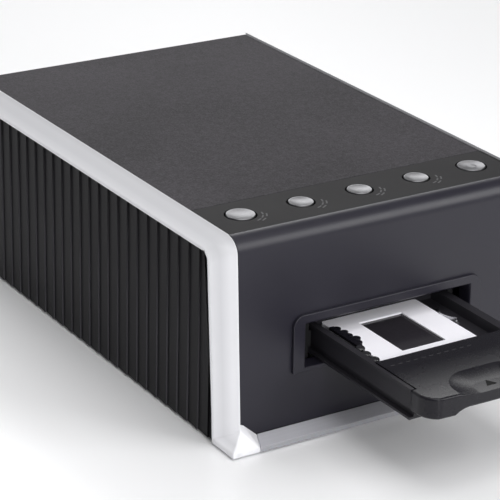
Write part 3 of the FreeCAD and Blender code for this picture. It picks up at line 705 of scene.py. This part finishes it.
def dish_cutter(middle, front, top):
    """Shallow bowl with large round corners, whose front half hangs over the grip's front."""
    half_x, half_y, depth, above = 21.2 * MM, 18.4 * MM, 1.7 * MM, 3 * MM
    forward, sunk_in, corner = 0.3 * MM, 0.03 * MM, 14 * MM
    bpy.ops.mesh.primitive_cube_add(size=1, scale=(2 * half_x, 2 * half_y, above),
                                    location=(middle, front - forward, top + above / 2 - sunk_in))
    cutter = named("dish")
    edit(cutter)
    pick_edges(cutter, lambda a, b: abs(a.z - b.z) > 1 * MM)
    bpy.ops.mesh.bevel(offset=corner, segments=14, affect="EDGES")
    pick_end(cutter, -1)
    rings, width, shape = 16, 0.62 * MM, 3.2
    sunk = 0
    for i in range(1, rings + 1):
        deeper = depth * (1 - (1 - i * width / half_x) ** shape)
        ring_in(width, sunk - deeper)
        sunk = deeper
    object_mode()
    return cutter


def make_arrow(ink):
    """Raised arrow in the thumb dish, pointing into the viewer."""
    low, high = (Vector(c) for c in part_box("tray_handle"))
    aside, inward, sunk = -0.8 * MM, 5.6 * MM, 1.58 * MM
    bpy.ops.mesh.primitive_cylinder_add(vertices=3, radius=3 * MM, depth=0.35 * MM,
                                        location=(aside, low.y + inward, high.z - sunk))
    arrow = bpy.context.object
    arrow.scale = (1, 1.05, 1)
    arrow = named("insert_arrow")
    soften(arrow, 0.05 * MM, 2)
    ink.put_on(arrow)
    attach(arrow, "tray")


def make_deck_dashes(ink):
    """Row of short raised dashes across the cover plate."""
    high = Vector(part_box("tray_handle")[1])
    first, from_rear, proud, pitch = -27.5 * MM, 6.2 * MM, 0.02 * MM, 3.9 * MM
    bpy.ops.mesh.primitive_cube_add(size=1, scale=(2.1 * MM, 0.45 * MM, 0.12 * MM),
                                    location=(first, high.y - from_rear, high.z + proud))
    dash = named("deck_dashes")
    soften(dash, 0.04 * MM, 2)
    row = dash.modifiers.new("row", "ARRAY")
    row.count = 11
    row.use_relative_offset = False
    row.use_constant_offset = True
    row.constant_offset_displace = (pitch, 0, 0)
    apply_modifiers(dash)
    ink.put_on(dash)
    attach(dash, "tray")


COMB_TEETH = (  # middle from the slide's left edge and from the pegs' end, and radius, in mm
    (0.8, 18.6, 1.9), (1.9, 14.4, 1.7), (1.2, 10.6, 2.1), (2.8, 6.8, 1.9), (0.9, 3.0, 2.0))


def make_comb(gloss):
    """Strip of round teeth that holds the slide's left edge down."""
    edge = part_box("slide_mount_upper")
    left, top = edge[0][0], edge[1][2]
    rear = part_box("slide_pegs")[1][1]
    thick = 1.2 * MM
    bpy.ops.mesh.primitive_cube_add(size=1, scale=(2.2 * MM, 22 * MM, thick),
                                    location=(left - 0.3 * MM, rear + 10 * MM, top + thick / 2))
    comb = named("comb")
    for x, y, radius in COMB_TEETH:
        bpy.ops.mesh.primitive_cylinder_add(vertices=40, radius=radius * MM, depth=thick,
                                            location=(left + x * MM, rear + y * MM, top + thick / 2))
        boolean(comb, named("tooth"), "UNION")
    soften(comb, 0.25 * MM, 3, 50)
    gloss.put_on(comb)
    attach(comb, "tray")


def make_tray():
    """Drawer, handle with its arrow and dashes, comb, and the slide's mount."""
    tray = satin_plastic("satin black tray", (0.016, 0.015, 0.019), 0.42, specular=0.3)
    refined("tray_frame", "tray", 0.12 * MM, tray, 2)
    gloss = gloss_black("gloss black handle", (0.0065, 0.006, 0.009), 0.22, specular=0.27)
    make_handle(gloss)
    make_comb(gloss)
    make_arrow(satin_plastic("black inlay", (0.003, 0.003, 0.003), 0.6, specular=0.2))
    make_deck_dashes(satin_plastic("faint grey ribs", (0.030, 0.029, 0.033), 0.5))
    white = satin_plastic("white slide mount", (0.86, 0.85, 0.90), 0.5, 3000, 1e-5)
    refined("slide_mount_lower", "mount_lower", 0.15 * MM, white, 2)
    refined("slide_mount_upper", "mount_upper", 0.15 * MM, white, 2)


# ---- pieces carried over ----
def make_inner_finishes():
    """Plain procedural finishes for what stays as designed."""
    kinds = {
        "chassis_steel": brushed_metal("zinc plate", (0.55, 0.56, 0.57), 0.32),
        "guide_plastic": satin_plastic("black moulding", (0.010, 0.010, 0.011), 0.6, specular=0.2),
        "light_box_white": satin_plastic("white moulding", (0.82, 0.82, 0.80)),
        "diffuser_opal": satin_plastic("opal sheet", (0.86, 0.86, 0.84), 0.3),
        "led_white": satin_plastic("phosphor", (0.85, 0.78, 0.35), 0.3),
        "board_green": gloss_black("green solder resist", (0.02, 0.11, 0.045), 0.25),
        "chip_black": satin_plastic("chip epoxy", (0.018, 0.018, 0.019), 0.5),
        "socket_black": gloss_black("socket moulding", (0.015, 0.015, 0.016), 0.25),
        "socket_shell": brushed_metal("bright plate", (0.72, 0.72, 0.72), 0.2),
        "mirror_glass": brushed_metal("silvered glass", (0.9, 0.91, 0.92), 0.02),
        "lens_glass": gloss_black("coated lens glass", (0.20, 0.24, 0.28), 0.03),
        "barrel_black": satin_plastic("black anodising", (0.02, 0.02, 0.021), 0.35),
        "ribbon_grey": satin_plastic("ribbon insulation", (0.30, 0.31, 0.33), 0.4),
        "spring_chrome": brushed_metal("spring steel", (0.80, 0.80, 0.82), 0.12),
        "tray_gloss": gloss_black("gloss black pegs", (0.010, 0.010, 0.012), 0.14),
        "film_dark": gloss_black("film", (0.020, 0.018, 0.022), 0.12),
    }
    for node, slot in SLOT_OF.items():
        if slot in kinds and not frame["nodes"][node].hide_render:
            kinds[slot].put_on(frame["nodes"][node])


add_camera()
add_studio()
make_housing()
make_buttons()
make_tray()
make_inner_finishes()
